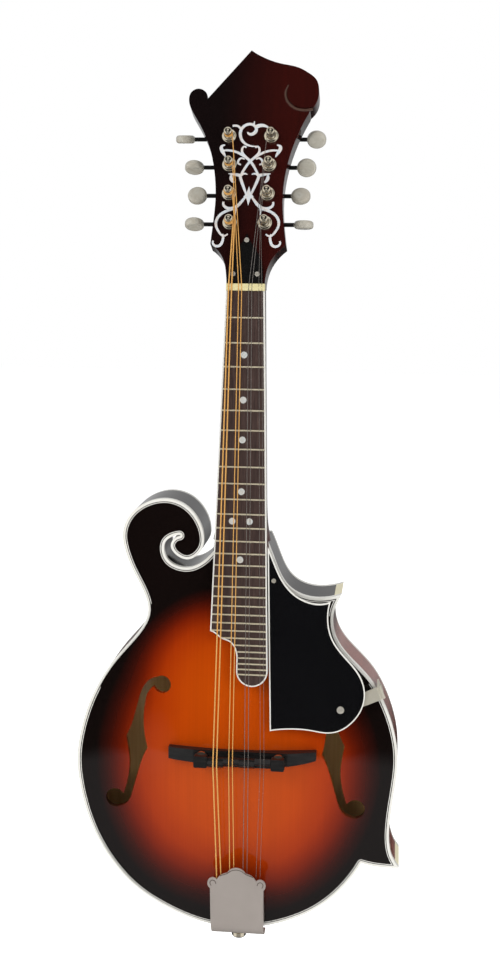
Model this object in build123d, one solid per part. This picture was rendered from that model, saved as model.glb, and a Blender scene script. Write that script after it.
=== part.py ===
from build123d import *
import os
from math import comb, cos, pi, radians, sin, sqrt, tan

# An eight-string scroll mandolin. Millimetres and degrees. +X is the treble side, -Y is
# the front, +Z runs from the body towards the head. The origin is the middle of the neck
# at the nut, where a hanger's yoke holds it.

# strings and neck
scale_length = 352
fret_count = 29
neck_angle = 5.72  # the neck leans back from the body's front
head_lean = 20.0  # the head leans back from the body's front
nut_y = -10.15  # playing surface at the nut's front edge
nut_z = -1.0
nut_thickness = 5.2
nut_width = 28.5
width_growth = 0.0287  # half width gained for each millimetre down the fretboard
board_thickness = 5.5
neck_depth_nut = 14.5  # wood below the fretboard
neck_depth_heel = 17.0

# body
rim_front = -22.0  # front plane of the rim
rim_depth = 43.0
rim_back = rim_front + rim_depth
rim_top = -186.7  # height of the neck joint
wall = 2.0  # thickness of the ribs, and width of the binding above them
plate = 4.5  # thickness of the top and back plates
arch_x = -4.0
arch_z = -352.0
arch_half_width = 145.0
arch_half_length = 200.0
arch_powers = (4, 6)  # how steeply the arch falls away across and along the body
arch_rise = 13.0
hole_line_x = -3.7  # the two sound holes mirror about this line

# bridge
bridge_x = 2.4
wheel_spacing = 58.4
wheel_z = -351.6
wheel_radius = 5.3
wheel_height = 2.2
stud_radius = 2.0
running_gap = 0.05
saddle_crest_y = rim_front - 28.3
saddle_crest_z = -352.3
wheel_lift = 1.8  # height of the wheels above the base
base_top_y = rim_front - 17.3

# tail
tail_z = -497.0
tail_x = 0.4
button_x = -1.5
hook_y = rim_front - 12.0

# head
overlay_thickness = 2.0
head_thickness = 15.0
post_radius = 3.0
post_height = 10.0
tuner_heights = (119.0, 96.0, 73.0, 50.0)  # up the head, top pair first
post_offsets = (16.0, 15.0, 14.4, 13.1)  # out from the head's centre line
button_starts_left = (-46.8, -38.6, -35.1, -36.2)
button_starts_right = (39.7, 32.9, 29.3, 32.4)
button_turns_left = (88.0, 53.0, -34.0, 56.0)
button_turns_right = (28.0, 0.0, -42.0, 79.0)
button_face_on = 24.9  # turn at which a button faces a player looking at the body

# tuner gearing
module = 0.6
gear_teeth = 14
pressure_angle = 20
tooth_thickness = 0.75
worm_pitch_radius = 1.9
gear_pitch_radius = module * gear_teeth / 2
worm_lead = pi * module
tooth_height = module
root_depth = 0.85
gear_width = 2.4
tuner_plate = 1.2
worm_w = -19.3  # worm axis, measured from the head's face
worm_offset = worm_pitch_radius + gear_pitch_radius

# string gauges, bass to treble, and the spacing of the four courses
string_radii = (0.5, 0.33, 0.21, 0.14)
nut_course_step = 7.45
nut_pair_gap = 2.3
saddle_course_step = 11.92
saddle_pair_gap = 2.8
hook_course_step = 9.8
hook_pair_gap = 3.2
crest_offsets = (-1.3, 0.3, -0.6, 0.9)  # how far each course's crest steps along the string
groove_radius = 2.5  # of a post where its string winds
coil_w = 4.2  # height of a string's first turn above the head's face

nodes = {}

neck_plane = Plane(
    origin=(0, nut_y, nut_z),
    x_dir=(1, 0, 0),
    z_dir=(0, -cos(radians(neck_angle)), sin(radians(neck_angle))),
)
head_plane = Plane(
    origin=neck_plane.from_local_coords((0, 2.76, -0.97)),
    x_dir=(1, 0, 0),
    z_dir=(0, -cos(radians(head_lean)), sin(radians(head_lean))),
)


# ---------- helpers ----------
def front_curve(points, **options):
    """A smooth curve through (x, z) points on the front view."""
    return Spline(*[(x, 0, z) for x, z in points], **options)


def front_line(start, end):
    return Line((start[0], 0, start[1]), (end[0], 0, end[1]))


def front_face(*edges):
    return make_face(Wire(list(edges)))


def front_disc(x, z, radius):
    return Plane(origin=(x, 0, z), z_dir=(0, -1, 0)) * Circle(radius)


def front_box(x0, x1, z0, z1):
    """A rectangle on the front view."""
    corners = [(x0, z0), (x1, z0), (x1, z1), (x0, z1), (x0, z0)]
    return front_face(*[front_line(a, b) for a, b in zip(corners, corners[1:])])


def moved_in(face, distance):
    """A face's outline moved inwards by a distance, drawn again with lines, arcs and splines."""
    edges = []
    for edge in offset(face, amount=-distance, kind=Kind.ARC).faces()[0].outer_wire().edges():
        if edge.geom_type == GeomType.OFFSET:
            steps = max(3, round(edge.length / 3))
            edge = Spline(*[edge @ (i / steps) for i in range(steps + 1)])
        edges.append(edge)
    return make_face(Wire(edges))


def prism(face, front, back):
    """A front-view face given depth, from y = front to y = back."""
    return Pos(0, back, 0) * extrude(face, amount=back - front, dir=(0, -1, 0))


def block(x0, x1, y0, y1, z0, z1):
    return Pos((x0 + x1) / 2, (y0 + y1) / 2, (z0 + z1) / 2) * Box(x1 - x0, y1 - y0, z1 - z0)


def rod(start, end, radius):
    """A round bar between two points."""
    direction = Vector(*end) - Vector(*start)
    ring = Plane(origin=start, z_dir=direction) * Circle(radius)
    return extrude(ring, amount=direction.length, dir=direction)


def disc(plane, x, y, z0, z1, radius):
    """A round plug standing on a plane, from local height z0 to z1."""
    return plane * (Pos(x, y, z0) * Cylinder(radius, z1 - z0, align=(Align.CENTER, Align.CENTER, Align.MIN)))


def ribbon(points, start, end, bulge):
    """A flat tapering stroke along a smooth curve: its width runs from start to end and swells by bulge."""
    line = Spline(*points)
    steps = 8
    sides = ([], [])
    for i in range(steps + 1):
        t = i / steps
        at = line @ t
        along = line % t
        half = (start + (end - start) * t + bulge * 4 * t * (1 - t)) / 2
        sides[0].append((at.X - along.Y * half, at.Y + along.X * half))
        sides[1].append((at.X + along.Y * half, at.Y - along.X * half))
    left, right = sides
    edges = [Spline(*left), Line(left[-1], right[-1]), Spline(*right[::-1]), Line(right[0], left[0])]
    return make_face(Wire(edges))


def board_half(v):
    """Half the fretboard's width at local height v, which is negative below the nut."""
    return nut_width / 2 + width_growth * max(0, -v)


def fret_v(number):
    return -scale_length * (1 - 2 ** (-number / 12))


def head_centre(s):
    """The head's centre line leans a little to the bass side."""
    return -0.4 - 0.0125 * s


# ---------- body outlines ----------
def body_outline(stub=0.0):
    """The whole edge of the body: a stub carries it up past the neck joint before it is moved inwards."""
    shoulder = [(19.5, rim_top), (27, -205), (37, -221.5), (50, -228), (64, -228.5), (76, -225.5)]
    treble_waist = [(73, -232), (70, -245), (74, -262), (85, -276), (100, -292), (110, -309)]
    treble_waist += [(118.2, -332), (121.2, -352), (119.8, -375), (116.2, -411), (117.8, -428), (124.5, -440.5)]
    point_foot = [(124.5, -440.5), (110, -440.8), (95.5, -438.3)]
    lower_bout = [(95.5, -438.3), (80, -461), (60, -478.7), (40, -489), (20, -495), (0, tail_z)]
    lower_bout += [(-26, -495), (-54.5, -485), (-79.5, -470), (-98.8, -450), (-115.8, -420)]
    bass_side = [(-124.6, -390), (-127.3, -362), (-124, -340), (-113.8, -310), (-95.2, -280)]
    bass_side += [(-78.5, -260), (-71, -243), (-73.8, -230), (-82.5, -212.5), (-88.5, -196.7)]
    scroll = [(-90.3, -185), (-85.5, -170.6), (-73, -160), (-56.7, -156.3), (-44, -160)]
    scroll += [(-34, -169.5), (-29.2, -180), (-28.3, rim_top)]
    joint = [scroll[-1], shoulder[0]]
    if stub:
        joint = [scroll[-1], (scroll[-1][0], rim_top + stub), (shoulder[0][0], rim_top + stub), shoulder[0]]
    return front_face(
        front_curve(shoulder),
        front_line(shoulder[-1], treble_waist[0]),
        front_curve(treble_waist),
        front_curve(point_foot),
        front_curve(lower_bout + bass_side + scroll),
        *[front_line(a, b) for a, b in zip(joint, joint[1:])],
    )


def scroll_slot():
    """The gap that curls in between the scroll and the neck."""
    curl = [(-28.3, rim_top), (-29.2, -192.5), (-33, -198.3), (-40, -202.3), (-49, -199.5)]
    curl += [(-53.6, -191.7), (-51, -186.6), (-47, -184.7)]
    cup = [(-47.2, -183.7), (-52.5, -185.2), (-57.4, -189), (-58.75, -195.5), (-55.5, -203.5)]
    cup += [(-49, -207.6), (-40, -208.6), (-31, -205), (-24, -198.8), (-20, -194.2)]
    mouth_top = -180
    tip = ThreePointArc((-47, 0, -184.7), (-46.5, 0, -184.1), (-47.2, 0, -183.7))
    return front_face(
        front_curve(curl),
        tip,
        front_curve(cup),
        front_line(cup[-1], (-20, mouth_top)),
        front_line((-20, mouth_top), (-28.3, mouth_top)),
        front_line((-28.3, mouth_top), curl[0]),
    )


outer_face = body_outline() - scroll_slot()


def inset(distance):
    """The body's outline moved inwards, but not at the neck joint."""
    return moved_in(body_outline(distance) - scroll_slot(), distance)


inner_face = inset(wall)
purfling_outside = inset(wall + 0.6)
purfling_inside = inset(wall + 1.1)
lining_inside = moved_in(body_outline(), wall + 4)


# ---------- arched plates ----------
def arch_surface(side, level):
    """The arch as one smooth sheet: side is -1 for the front and 1 for the back."""
    # only the middle control point is raised: the sheet is a product of two even bumps
    across, along = arch_powers
    peak = arch_rise * 4 ** (across + along) / comb(2 * across, across) / comb(2 * along, along)
    grid = []
    for i in range(2 * across + 1):
        x = arch_x + arch_half_width * (i / across - 1)
        row = []
        for j in range(2 * along + 1):
            z = arch_z + arch_half_length * (j / along - 1)
            lift = peak if (i, j) == (across, along) else 0
            row.append(Vector(x, level + side * lift, z))
        grid.append(row)
    return Face.make_bezier_surface(grid)


front_skin = arch_surface(-1, rim_front)
behind_front_skin = extrude(front_skin, amount=60, dir=(0, 1, 0))
plate_inner_skin = arch_surface(-1, rim_front + plate)
ahead_of_inner_skin = extrude(plate_inner_skin, amount=60, dir=(0, -1, 0))


def sound_hole():
    """The treble sound hole, drawn out from the line that both mirror about."""
    upper_eye = front_disc(55.8, -299.9, 6.8)
    lower_eye = front_disc(93.4, -394.3, 7.5)
    outer_upper = [(58.9, -294.2), (66, -297), (71.3, -304), (75.3, -316.5), (78.3, -328), (84.5, -343.3)]
    outer_lower = [(84.5, -343.3), (82.6, -354.5), (81.8, -365), (82.9, -375.5), (86.3, -388.5)]
    inner_lower = [(90, -400.9), (83.5, -397), (79.5, -387.5), (75.5, -373), (71.5, -360), (67.2, -350.8)]
    inner_upper = [(67.2, -350.8), (69.8, -338.5), (70.4, -327), (69.3, -315.5), (66.5, -306), (61.5, -301.5)]
    stem = front_face(
        front_curve(outer_upper),
        front_curve(outer_lower),
        front_line(outer_lower[-1], inner_lower[0]),
        front_curve(inner_lower),
        front_curve(inner_upper),
        front_line(inner_upper[-1], outer_upper[0]),
    )
    return upper_eye + lower_eye + stem


def make_plates():
    cut_front = rim_front - arch_rise - 5
    hole = prism(sound_hole(), cut_front, rim_front + plate + 5)
    treble_hole = Pos(hole_line_x, 0, 0) * hole
    bass_hole = Pos(hole_line_x, 0, 0) * mirror(hole, Plane.YZ)
    blank = extrude(front_skin, amount=plate, dir=(0, 1, 0))
    purfling_groove = prism(purfling_outside - purfling_inside, rim_front - 0.5, rim_front + 0.8)
    top = blank & prism(inner_face, cut_front, rim_front + plate)
    nodes["top_plate"] = top - treble_hole - bass_hole - purfling_groove
    back_blank = extrude(arch_surface(1, rim_back), amount=plate, dir=(0, -1, 0))
    nodes["back_plate"] = back_blank & prism(inner_face, rim_back - plate, rim_back + arch_rise + 5)
    band = outer_face - inner_face
    front_band = prism(band, rim_front, rim_front + plate)
    back_band = prism(band, rim_back - plate, rim_back)
    purfling = blank & prism(purfling_outside - purfling_inside, rim_front - 0.5, rim_front + 0.8)
    nodes["binding"] = front_band + back_band + purfling


# ---------- rim ----------
rib_front = rim_front + plate
rib_back = rim_back - plate
upper_tip = front_box(70.5, 80, -236, -222)
lower_tip = front_box(121.4, 128, -445, -436)


def make_rim():
    tips = prism(upper_tip + lower_tip, rim_front - 1, rim_back + 1)
    shell = prism(outer_face, rib_front, rib_back)
    nodes["point_caps"] = shell & tips
    ring = prism(outer_face - inner_face, rib_front, rib_back) - tips
    shoulder_zone = block(15, 80, -60, 60, -229.5, -180)
    waist_zone = block(60, 130, -60, 60, -438.6, -229.5)
    rest = ring - shoulder_zone - waist_zone
    lower_zone = block(-100, 130, -60, 60, -500, -236)
    lower_zone += block(-130, -60, -60, 60, -500, -236)
    tail_hole = rod((button_x, rim_front + rim_depth / 2, -500), (button_x, rim_front + rim_depth / 2, -480), 3.5)
    ribs = [ring & shoulder_zone, ring & waist_zone, (rest & lower_zone) - tail_hole, rest - lower_zone]
    nodes["ribs"] = Compound(children=[Part() + piece for piece in ribs])

    cavity = prism(inner_face, rib_front, rib_back) - tips
    head_block = cavity & block(-95, 34, -60, 60, -219, rim_top)
    dovetail = neck_dovetail()
    tail_block = cavity & block(-32, 28, -60, 60, -500, -482)
    upper_block = cavity & block(57, 80, -60, 60, -238, -222)
    lower_block = cavity & block(103, 128, -60, 60, -445, -424)
    blocks = [head_block - dovetail, tail_block - tail_hole, upper_block, lower_block]
    nodes["blocks"] = Compound(children=[Part() + piece for piece in blocks])

    strip = prism(inner_face - lining_inside, rib_front, rib_back)
    strip -= block(-100, 60, -60, 60, -219, -150)
    for piece in blocks:
        strip -= piece
    strip -= block(-35, 32, -60, 60, -500, -480)
    strip -= block(40, 80, -60, 60, -240, -215)
    strip -= block(95, 128, -60, 60, -445, -418)
    lining_height = 7
    middle = block(-200, 200, rib_front + lining_height, rib_back - lining_height, -600, -100)
    nodes["linings"] = strip - middle


def neck_dovetail():
    """The wedge that locks the neck's heel into the head block."""
    narrow, wide, depth = 8, 11, 18
    corners = [(-narrow, rim_top), (-wide, rim_top - depth), (wide, rim_top - depth), (narrow, rim_top)]
    corners.append(corners[0])
    face = front_face(*[front_line(a, b) for a, b in zip(corners, corners[1:])])
    return prism(face, rib_front, rib_back - 6)


def make_tone_bars():
    bars = []
    for top_x, bottom_x in ((-20, -30), (14, 26)):
        outline = [(top_x - 3, -262), (top_x + 3, -262), (bottom_x + 3, -440), (bottom_x - 3, -440)]
        outline.append(outline[0])
        face = front_face(*[front_line(a, b) for a, b in zip(outline, outline[1:])])
        bars.append(prism(face, rim_front - arch_rise, rim_front + plate + 3) - ahead_of_inner_skin)
    nodes["tone_bars"] = Compound(children=[Part() + bar for bar in bars])


# ---------- neck and head ----------
def head_edge():
    """The head's outline on its own plane, x across and s up from the nut."""
    bass_shoulder = [(-14.25, 2.6), (-15.3, 12.1), (-17.5, 20.8), (-22, 28.1), (-27.9, 33.3)]
    bass_side = [(-27.9, 33.3), (-26.7, 49.4), (-25.8, 68), (-26.9, 84.8), (-32.1, 109.1), (-43.7, 133.6)]
    small_scroll = [(-50.1, 148.5), (-48.6, 154.8), (-43.5, 157.6), (-38.8, 156), (-36, 149.1)]
    peak = (-3.9, 188.9)
    crest = [peak, (7.1, 182.3), (19.4, 177.9), (31.7, 175), (40.3, 170.3)]
    big_scroll = [(46.6, 164.4), (48.7, 156.7), (47.8, 147.6), (42.6, 139.9)]
    treble_side = [(42.1, 138), (34, 120), (28, 100), (25, 80), (24.8, 65), (26.2, 50), (28.5, 33.6)]
    treble_shoulder = [(28.5, 33.6), (22.3, 27.4), (18.2, 21), (15.2, 12.5), (14.25, 2.6)]
    return make_face(Wire([
        Spline(*bass_shoulder),
        Spline(*bass_side, *small_scroll),
        Line(small_scroll[-1], peak),
        Spline(*crest, *big_scroll),
        Line(big_scroll[-1], treble_side[0]),
        Spline(*treble_side),
        Spline(*treble_shoulder),
        Line(treble_shoulder[-1], bass_shoulder[0]),
    ]))


def neck_section(v, depth):
    """A D-shaped slice across the neck: flat under the fretboard, round behind."""
    half = board_half(v)
    at = Plane(
        origin=neck_plane.from_local_coords((0, v, -board_thickness)),
        x_dir=(1, 0, 0),
        z_dir=neck_plane.y_dir,
    )
    # on this plane local y points from the wood towards the back
    bow = Spline((half, 0), (half * 0.8, depth * 0.68), (0, depth), (-half * 0.8, depth * 0.68), (-half, 0))
    return at * make_face(Wire([Line((-half, 0), (half, 0)), bow]))


def nut_seat():
    """The space above the fretboard's glue line that is kept clear for the nut."""
    space = Box(80, 2 * nut_thickness, 40, align=(Align.CENTER, Align.CENTER, Align.MIN))
    return neck_plane * (Pos(0, 0, -board_thickness) * space)


def make_neck():
    shaft = loft([neck_section(7, neck_depth_nut), neck_section(-150, neck_depth_heel)], ruled=True)
    heel_depths = ((-150, 17), (-162, 18.2), (-172, 22.5), (-180, 31), (-186, 42.5), (-194, 47))
    heel = loft([neck_section(v, depth) for v, depth in heel_depths])
    body_space = block(-60, 60, rim_front, rim_back + 40, rim_top - 100, rim_top)
    heel_end = block(-60, 60, rim_back - 0.5, rim_back + 40, -250, -100)
    heel = heel - body_space - heel_end

    riser_end = -258
    riser_half = board_half(-200) - 1.5
    riser_box = Pos(0, (riser_end - 186) / 2, -board_thickness - 10) * Box(2 * riser_half, -186 - riser_end, 20)
    riser = neck_plane * riser_box - block(-60, 60, -60, 60, rim_top, 0)
    riser = riser - behind_front_skin

    slab = extrude(head_edge(), amount=head_thickness - overlay_thickness)
    head = head_plane * (Pos(0, 0, -head_thickness) * slab)
    seat = nut_seat()
    volute = neck_plane * (Pos(0, 3, -board_thickness - neck_depth_nut + 1.5) * Sphere(8.5))
    neck = shaft + heel + neck_dovetail() + riser + (head - seat) + (volute - seat)
    neck = neck - truss_channel() - truss_pocket()
    for x, s in posts():
        neck -= disc(head_plane, x, s, -8, 1, 4.1)
        neck -= disc(head_plane, x, s, -head_thickness - 1, -7, post_radius + 0.15)
    nodes["neck"] = neck


def posts():
    """Where the eight string posts stand on the head: bass side first, top pair first."""
    places = []
    for side in (-1, 1):
        for s, out in zip(tuner_heights, post_offsets):
            places.append((head_centre(s) + side * out, s))
    return places


# ---------- truss rod ----------
rod_w = -10.0  # rod axis below the playing surface
rod_radius = 2.2
rod_end = 18.5
rod_nut = (10.5, 20.0)  # where the nut starts and ends up the rod


def truss_channel():
    top = -board_thickness
    bottom = rod_w
    length = 190
    box = Pos(0, nut_thickness + 1 - length / 2, (top + bottom) / 2) * Box(2 * rod_radius + 0.2, length, top - bottom)
    floor = neck_rod(nut_thickness + 1 - length, nut_thickness + 12, rod_radius + 0.1)
    return neck_plane * box + floor


def neck_rod(v0, v1, radius):
    """A round bar along the truss rod's axis, from v0 to v1 up the neck."""
    start = neck_plane.from_local_coords((0, v0, rod_w))
    end = neck_plane.from_local_coords((0, v1, rod_w))
    return rod(start, end, radius)


def truss_pocket():
    """The pocket under the cover, where a box spanner reaches the nut."""
    pocket = neck_rod(rod_nut[0] - 1.5, 40, 5.2)
    return pocket + head_plane * (Pos(0, 20, -5.5) * Box(10, 22, 11))


def make_truss_rod():
    washer = neck_rod(rod_nut[0] - 1.5, rod_nut[0] - 0.05, 4.4)
    nodes["truss_rod"] = neck_rod(-182, rod_end, rod_radius) + washer
    start = neck_plane.from_local_coords((0, rod_nut[0], rod_w))
    hexagon = Plane(origin=start, x_dir=(1, 0, 0), z_dir=neck_plane.y_dir) * RegularPolygon(3.6, 6)
    body = extrude(hexagon, amount=rod_nut[1] - rod_nut[0], dir=neck_plane.y_dir)
    nodes["truss_rod_nut"] = body - neck_rod(rod_nut[0] - 1, rod_end + running_gap, rod_radius + running_gap)

    bell = [(-13.6, 2.9), (-12.9, 12), (-10.8, 21.5), (-6.2, 30), (-2, 36.5), (0, 41.5)]
    other = [(-x, s) for x, s in bell[::-1]]
    face = make_face(Wire([Spline(*bell), Spline(*other), Line(other[-1], bell[0])]))
    cover = head_plane * (Pos(head_centre(20), 0, 0) * extrude(face, amount=1.6))
    for x, s in cover_screws():
        cover -= disc(head_plane, x, s, -1, 3, 0.9)
        cover -= disc(head_plane, x, s, 1.1, 3, 1.9)
    nodes["truss_rod_cover"] = cover


def cover_screws():
    centre = head_centre(20)
    return [(centre, 36), (centre - 9, 9.6), (centre + 9, 9.6)]


# ---------- head face ----------
def scroll_groove():
    """The carved line that turns in under the head's large scroll."""
    line = [(44.5, 141.6), (38, 140.6), (31.5, 142), (26.6, 145.8), (24, 151), (24, 156), (26, 160.5)]
    return ribbon(line, 3.0, 0.6, 0.6)


def head_scrollwork():
    """Plain scrollwork strokes; those in the first group are repeated in mirror image."""
    mirrored = [
        ([(-20.5, 107.3), (-12, 106.6), (-5.5, 103.4), (0, 98.8), (4.2, 92.5), (7.2, 86.8)], 1.4, 1.5, 0.6),
        ([(7.2, 87.2), (5.2, 81), (3.2, 76), (1.4, 71)], 2.2, 1.2, 0.4),
        ([(-19.5, 111.8), (-22.4, 110), (-21, 106), (-19, 102)], 0.6, 0.5, 2.2),
        ([(0.4, 99.8), (4.6, 103.4), (6.6, 107), (5.6, 110.4), (3.4, 109.6)], 1.4, 1.2, 0.5),
        ([(4.4, 100.2), (8.0, 100.6), (9.2, 97.8), (6.9, 96.2)], 1.0, 1.2, 0.5),
        ([(6.6, 87.4), (11, 88.2), (16, 88.8)], 2.4, 0.5, 0.6),
        ([(13.6, 88.2), (13.7, 84.8), (11.4, 81.8)], 1.0, 1.0, 1.6),
        ([(7.0, 86.6), (4.6, 88.8), (1.6, 88.2)], 1.6, 0.5, 0.6),
        ([(1.4, 71.4), (5.2, 66.6), (9.5, 62.3), (14, 61.2), (18, 63.2), (18.6, 66.6)], 1.2, 1.4, 1.2),
        ([(8.6, 61.6), (14, 60), (20, 56.8), (23.6, 50), (21.4, 43.4), (17.4, 39.6), (14.2, 41.2)], 2, 1.2, 0.4),
        ([(18.4, 41), (17.9, 35.6), (20.8, 31.6), (24.4, 32.6), (24.8, 35.8)], 1.4, 1.2, 0.8),
        ([(9.6, 61.4), (9.4, 56.2)], 2.0, 1.0, 0.0),
    ]
    single = [
        ([(5.6, 111), (0, 111), (-4.6, 113), (-8.2, 118.6), (-7.6, 125), (-2.4, 128.6), (2.8, 126.2)], 0.6, 1.8, 1.0),
        ([(2.8, 126.2), (2.6, 122), (-0.6, 120.4), (-3, 122.2)], 1.8, 1.0, 1.2),
        ([(-14.6, 127.2), (-10.6, 127), (-7.4, 122.4)], 1.6, 1.0, 0.4),
        ([(2.6, 125.8), (7, 127.6), (12.4, 126)], 3.0, 1.2, 0.6),
        ([(1.4, 127.2), (1.8, 131)], 2.0, 0.5, 0.0),
    ]
    spear = [(0, 79), (1.6, 73.4), (4, 70.6), (1.5, 69), (0, 63.6)]
    outline = spear + [(-x, s) for x, s in spear[-2:0:-1]] + [spear[0]]
    art = make_face(Wire([Line(a, b) for a, b in zip(outline, outline[1:])]))
    for points, start, end, bulge in mirrored:
        stroke = ribbon(points, start, end, bulge)
        art = art + stroke + mirror(stroke, Plane.YZ)
    for points, start, end, bulge in single:
        art = art + ribbon(points, start, end, bulge)
    return Pos(-1.0, 0, 0) * art


def make_head_face():
    overlay = Pos(0, 0, -overlay_thickness) * extrude(head_edge(), amount=overlay_thickness)
    inlay = Pos(0, 0, -0.9) * extrude(head_scrollwork(), amount=0.9)
    for x, s in posts():
        hole = Pos(x, s, -overlay_thickness) * Cylinder(4.1, 8)
        overlay -= hole
        inlay -= hole
    overlay -= Pos(0, 0, -1.4) * extrude(scroll_groove(), amount=2)
    overlay -= Pos(0, 20, 0) * Box(10, 22, 10)
    nodes["head_overlay"] = head_plane * (overlay - inlay) - nut_seat()
    nodes["head_inlay"] = head_plane * inlay


# ---------- fretboard ----------
def board_edge():
    """The fretboard's outline on the neck plane, with its long treble extension."""
    foot_v = -254
    start = (-board_half(0), 0)
    corner = (-board_half(foot_v), foot_v)
    scoop = [corner, (-17.5, -256), (-12.5, -259.6), (-7, -261.6), (-3.6, -265), (-1.5, -271), (-1.3, -277)]
    end_v = -283.4
    treble = board_half(end_v)
    bass = scoop[-1][0]
    foot = ThreePointArc((bass, end_v), ((bass + treble) / 2, end_v - (treble - bass) / 2), (treble, end_v))
    return make_face(Wire([
        Line(start, corner),
        Spline(*scoop, tangents=[(1, -0.3), (0, -1)]),
        Line(scoop[-1], (bass, end_v)),
        foot,
        Line((treble, end_v), (-start[0], 0)),
        Line((-start[0], 0), start),
    ]))


def make_fretboard():
    edge = board_edge()
    binding_width = 1.0
    inner = moved_in(edge, binding_width)
    outline = extrude(edge, amount=-board_thickness)
    core = extrude(inner, amount=-board_thickness)
    nut_strip = Pos(0, -1, -board_thickness / 2) * Box(nut_width - 2 * binding_width, 2, board_thickness)
    core = core + nut_strip
    nodes["fretboard_binding"] = neck_plane * (outline - core)
    frets = []
    for number in range(1, fret_count + 1):
        v = fret_v(number)
        crown = Plane(origin=(-40, v, 0), x_dir=(0, 1, 0), z_dir=(1, 0, 0)) * Ellipse(0.62, 0.95)
        tang = Pos(0, v, -0.9) * Box(80, 0.5, 2.2)
        bar = extrude(crown, amount=80) - Pos(0, v, -1) * Box(90, 4, 2) + tang
        frets.append(bar & (Pos(0, 0, -3) * extrude(inner, amount=6)))
    for bar in frets:
        core -= bar
    dots = []
    for space in (3, 5, 7, 10, 12, 15):
        v = (fret_v(space) + fret_v(space - 1)) / 2
        offsets = (-6.5, 6.5) if space == 12 else (0,)
        for x in offsets:
            dots.append(Pos(x, v, -0.75) * Cylinder(2.5, 1.5))
    for dot in dots:
        core -= dot
    nodes["fretboard"] = neck_plane * core
    nodes["frets"] = Compound(children=[Part() + neck_plane * bar for bar in frets])
    nodes["position_dots"] = Compound(children=[Part() + neck_plane * dot for dot in dots])


# ---------- strings ----------
def course_points(step, gap):
    """Sideways places of the eight strings, in four pairs."""
    return [step * (course - 1.5) + side * gap / 2 for course in range(4) for side in (-1, 1)]


def on_head(x, s, w):
    return tuple(head_plane.from_local_coords((x, s, w)))


def string_routes():
    """Each string's radius, its tail hook, the points it bends at, and its coil as x, s and radius."""
    nut_x = course_points(nut_course_step, nut_pair_gap)
    saddle_x = [bridge_x + x for x in course_points(saddle_course_step, saddle_pair_gap)]
    hook_x = [tail_x + 1 + x for x in course_points(hook_course_step, hook_pair_gap)]
    routes = []
    for i in range(8):
        radius = string_radii[i // 2]
        hook = (hook_x[i], hook_y, -466 if i % 2 else -472)
        saddle = (saddle_x[i], saddle_crest_y - radius, saddle_crest_z + crest_offsets[i // 2])
        nut = tuple(neck_plane.from_local_coords((nut_x[i], 2.6, 1.15 + radius)))
        # outer strings go to the lowest posts, inner strings to the top ones
        x, s = posts()[3 - i] if i < 4 else posts()[i]
        side = 1 if i < 4 else -1
        reach = groove_radius + radius + 0.03
        bends = [nut]
        if i in (1, 6):
            # the second string of an outer pair lies against the coil on the lowest post
            low_x, low_s = posts()[3] if i < 4 else posts()[7]
            bends.append(on_head(low_x + side * (reach + 2 * radius + 0.03), low_s, coil_w + 0.1))
        near = head_plane.to_local_coords(Vector(*bends[-1]))
        dx, ds = near.X - x, near.Y - s
        span = dx * dx + ds * ds
        along = reach * reach / span
        across = side * reach * sqrt(span - reach * reach) / span
        contact = on_head(x + along * dx - across * ds, s + along * ds + across * dx, coil_w)
        routes.append((radius, hook, [saddle, *bends, contact], (x, s, reach)))
    return routes


def make_strings():
    wound, plain = [], []
    for i, (radius, hook, points, (x, s, reach)) in enumerate(string_routes()):
        loop_radius = 1.75 + radius
        string = Pos(*hook) * (Rot(90, 0, 0) * Torus(loop_radius, radius))
        string += rod((hook[0], hook[1], hook[2] + loop_radius), points[0], radius) + Pos(*points[0]) * Sphere(radius)
        for start, end in zip(points, points[1:]):
            string += rod(start, end, radius)
            string += Pos(*end) * Sphere(radius)
        group = wound if i < 4 else plain
        group.append(string)
        for turn in range(3):
            height = coil_w + (turn + 1) * (2 * radius + 0.01)
            group.append(head_plane * (Pos(x, s, height) * Torus(reach, radius)))
    nodes["strings_wound"] = Compound(children=[Part() + piece for piece in wound])
    nodes["strings_plain"] = Compound(children=[Part() + piece for piece in plain])


def string_grooves():
    """Short straight cuts that seat each string on the nut and the saddle."""
    cuts = []
    for radius, hook, points, coil in string_routes():
        for start, end in zip([hook, *points], points[:3]):
            cuts.append(rod(start, end, radius) + Pos(*end) * Sphere(radius))
    return cuts


def make_nut():
    profile = [(0, -board_thickness), (0, 1.0), (2.2, 1.5), (nut_thickness, 0.6), (nut_thickness, -board_thickness)]
    side = Plane(origin=(-nut_width / 2, 0, 0), x_dir=(0, 1, 0), z_dir=(1, 0, 0))
    outline = Polyline(*profile, close=True)
    body = neck_plane * extrude(side * make_face(outline), amount=nut_width)
    for cut in string_grooves():
        body -= cut
    nodes["nut"] = body


# ---------- bridge ----------
def wheel_places():
    return [bridge_x - wheel_spacing / 2, bridge_x + wheel_spacing / 2]


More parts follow.
